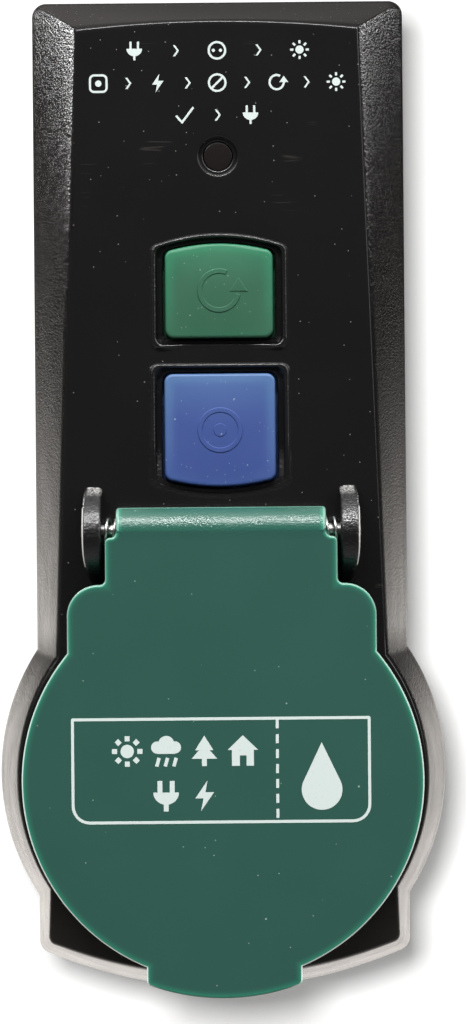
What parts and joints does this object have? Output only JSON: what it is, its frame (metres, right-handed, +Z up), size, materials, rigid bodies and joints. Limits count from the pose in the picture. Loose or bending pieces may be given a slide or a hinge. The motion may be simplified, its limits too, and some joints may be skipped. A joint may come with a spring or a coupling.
{
  "type": "residual-current adapter plug",
  "caption": "Tall black plug-in residual-current adapter with an earthed round plug at the back, reset and test buttons, an indicator lens and a socket under a sprung flip cover.",
  "frame": {"origin": "on the axis of the plug, at the plane of the wall", "axes": "+X to the right of the face, +Y along the plug into the wall, +Z up; the face looks along -Y"},
  "size_m": [0.0636, 0.0845, 0.1418],
  "materials": {
    "casing_black": "black moulded plastic, satin face and spark-eroded flanks",
    "plug_black": "black moulded plastic, fine matt",
    "seal_rubber": "soft black rubber",
    "screw_steel": "bright plated steel",
    "spring_steel": "drawn spring wire",
    "yoke_steel": "plain pressed steel",
    "pin_nickel": "nickel-plated, softly polished",
    "earth_brass": "pressed brass strip",
    "strip_copper": "bare copper",
    "core_ferrite": "dark pressed ferrite",
    "board_green": "lacquered circuit board",
    "chip_dark": "dark moulded resin",
    "capacitor_blue": "shrink sleeve",
    "absorber_blue": "dipped resin",
    "lamp_red": "tinted clear resin",
    "lens_red": "dark red tinted lens",
    "frame_cream": "cream moulded plastic",
    "reset_green": "soft green elastomer with a little dust",
    "test_blue": "soft blue elastomer with a little dust",
    "cover_green": "dark green plastic, slightly see-through at its edges",
    "print_ink": "pale screen-printed ink"
  },
  "bodies": {
    "casing": {"front_casing": "casing_black", "rear_casing": "casing_black", "casing_seal": "seal_rubber", "casing_screws": "screw_steel", "plug_body": "plug_black", "plug_seal": "seal_rubber", "live_pin": "pin_nickel", "neutral_pin": "pin_nickel", "plug_earth_strips": "earth_brass", "earth_rivet": "earth_brass", "live_busbar": "strip_copper", "neutral_busbar": "strip_copper", "transformer_core": "core_ferrite", "transformer_winding": "strip_copper", "live_lead": "strip_copper", "neutral_lead": "strip_copper", "fixed_contacts": "pin_nickel", "circuit_board": "board_green", "board_screws": "screw_steel", "control_chip": "chip_dark", "smoothing_capacitor": "capacitor_blue", "surge_absorber": "absorber_blue", "reset_switch": "chip_dark", "test_switch": "chip_dark", "indicator_lamp": "lamp_red", "indicator_lens": "lens_red", "relay_yoke": "yoke_steel", "relay_bobbin": "frame_cream", "relay_winding": "strip_copper", "relay_spring": "spring_steel", "reset_spring": "spring_steel", "test_spring": "spring_steel", "button_guide": "chip_dark", "guide_screws": "screw_steel", "socket_cup": "plug_black", "shutter_spring": "spring_steel", "contact_retainer": "plug_black", "live_contact": "earth_brass", "neutral_contact": "earth_brass", "earth_clip": "earth_brass", "hinge_pin": "screw_steel", "hinge_spring_left": "spring_steel", "hinge_spring_right": "spring_steel"},
    "flip_cover": {"socket_cover": "cover_green", "cover_gasket": "seal_rubber"},
    "reset": {"reset_button": "reset_green", "reset_plunger": "frame_cream"},
    "test": {"test_button": "test_blue", "test_plunger": "frame_cream"},
    "shutter": {"shutter_disc": "frame_cream"},
    "contact_bridge": {"relay_plunger": "yoke_steel", "contact_carriage": "frame_cream", "moving_contacts": "earth_brass"}
  },
  "joints": [
    {"name": "cover_hinge", "type": "hinge", "parent": "casing", "child": "flip_cover", "pos_m": [0, -0.0453, 0.0345], "axis": [-1, 0, 0], "range_deg": [0, 110], "stiffness_Nm_per_rad": 0.004, "springref_deg": -28.65, "deforming": ["hinge_spring_left", "hinge_spring_right"]},
    {"name": "reset_press", "type": "slide", "parent": "casing", "child": "reset", "axis": [0, 1, 0], "range_m": [0, 0.002], "stiffness_N_per_m": 1200, "springref_m": -0.0005, "deforming": ["reset_spring"]},
    {"name": "test_press", "type": "slide", "parent": "casing", "child": "test", "axis": [0, 1, 0], "range_m": [0, 0.002], "stiffness_N_per_m": 1200, "springref_m": -0.0005, "deforming": ["test_spring"]},
    {"name": "shutter_turn", "type": "hinge", "parent": "casing", "child": "shutter", "pos_m": [0, -0.0239, 0], "axis": [0, 1, 0], "range_deg": [0, 40], "stiffness_Nm_per_rad": 0.002, "springref_deg": -17.19, "deforming": ["shutter_spring"]},
    {"name": "contact_close", "type": "slide", "parent": "casing", "child": "contact_bridge", "axis": [0, 0, 1], "range_m": [0, 0.0018], "stiffness_N_per_m": 300, "springref_m": -0.001, "deforming": ["relay_spring"]}
  ]
}
